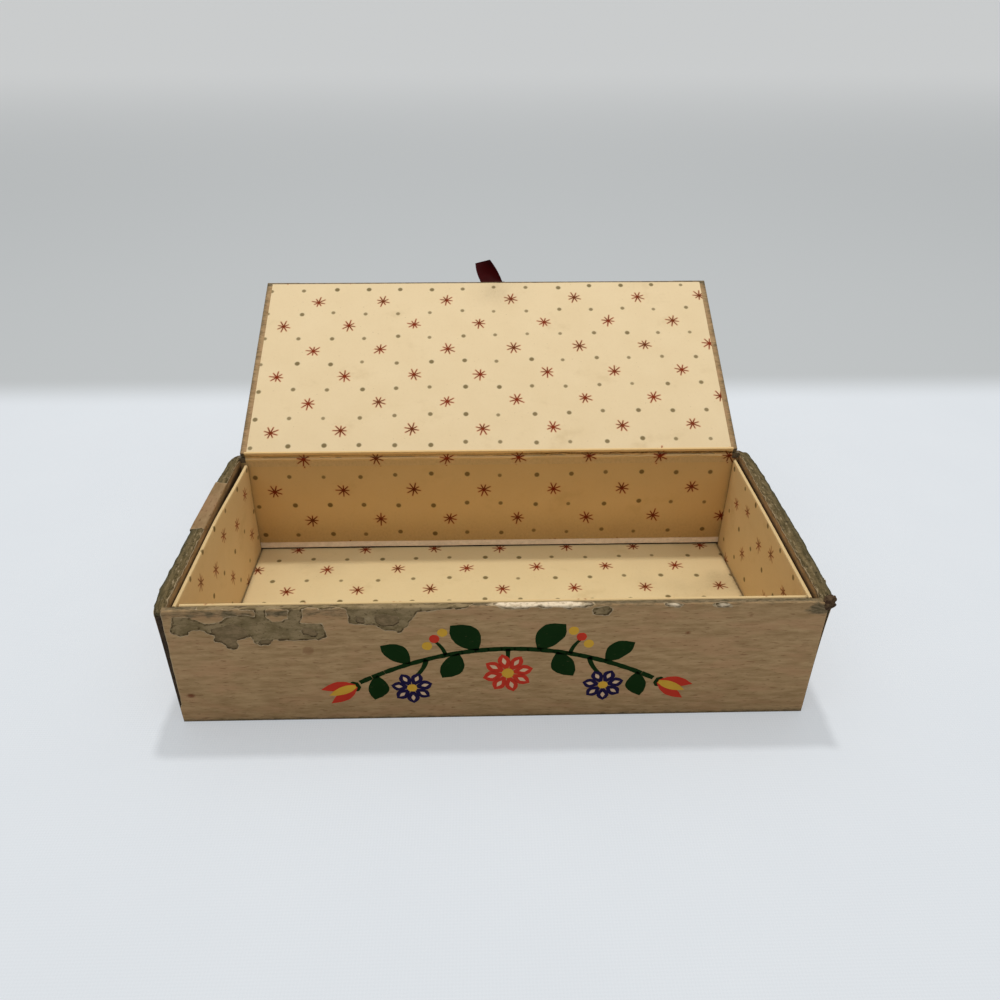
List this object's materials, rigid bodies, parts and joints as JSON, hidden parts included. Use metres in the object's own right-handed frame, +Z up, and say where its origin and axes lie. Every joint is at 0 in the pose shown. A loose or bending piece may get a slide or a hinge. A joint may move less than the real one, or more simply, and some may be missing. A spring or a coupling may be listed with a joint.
{
  "type": "hinged cardboard soap box",
  "caption": "Shallow rectangular cardboard soap box with a flat hinged lid that drops between the walls, a paper-lined card liner and a ribbon pull.",
  "frame": {"origin": "centre of the tray's underside, on the surface that it stands on", "axes": "+X along the box's length to the right, -Y out of the front, +Z up"},
  "size_m": [0.2, 0.1836, 0.0936],
  "materials": {
    "greyboard": "matte grey fibrous board",
    "stay_tape": "matte brown kraft tape",
    "wood_grain_paper": "matte printed wood-grain paper, worn at the edges",
    "bottom_paper": "matte tan paper",
    "star_paper": "matte cream paper printed with red stars and olive dots",
    "satin_ribbon": "dark red satin"
  },
  "bodies": {
    "tray": {"bottom_paper": "bottom_paper", "bottom_board": "greyboard", "front_wall_board": "greyboard", "back_wall_board": "greyboard", "left_wall_board": "greyboard", "right_wall_board": "greyboard", "front_left_corner_stay": "stay_tape", "back_left_corner_stay": "stay_tape", "front_right_corner_stay": "stay_tape", "back_right_corner_stay": "stay_tape", "front_cover_paper": "wood_grain_paper", "back_cover_paper": "wood_grain_paper", "left_cover_paper": "wood_grain_paper", "right_cover_paper": "wood_grain_paper", "front_liner_card": "greyboard", "left_liner_card": "greyboard", "right_liner_card": "greyboard", "front_liner_paper": "star_paper", "left_liner_paper": "star_paper", "right_liner_paper": "star_paper", "back_lining_paper": "star_paper", "floor_card": "greyboard", "floor_lining_paper": "star_paper", "hinge_cover_strip": "wood_grain_paper", "hinge_lining_strip": "star_paper"},
    "lid": {"lid_board": "greyboard", "lid_cover_paper": "wood_grain_paper", "lid_lining_paper": "star_paper", "ribbon_pull": "satin_ribbon"}
  },
  "joints": [
    {"name": "lid_hinge", "type": "hinge", "parent": "tray", "child": "lid", "pos_m": [0, 0.04545, 0.0455], "axis": [-1, 0, 0], "range_deg": [-152, 27], "deforming": ["hinge_cover_strip", "hinge_lining_strip"]}
  ]
}
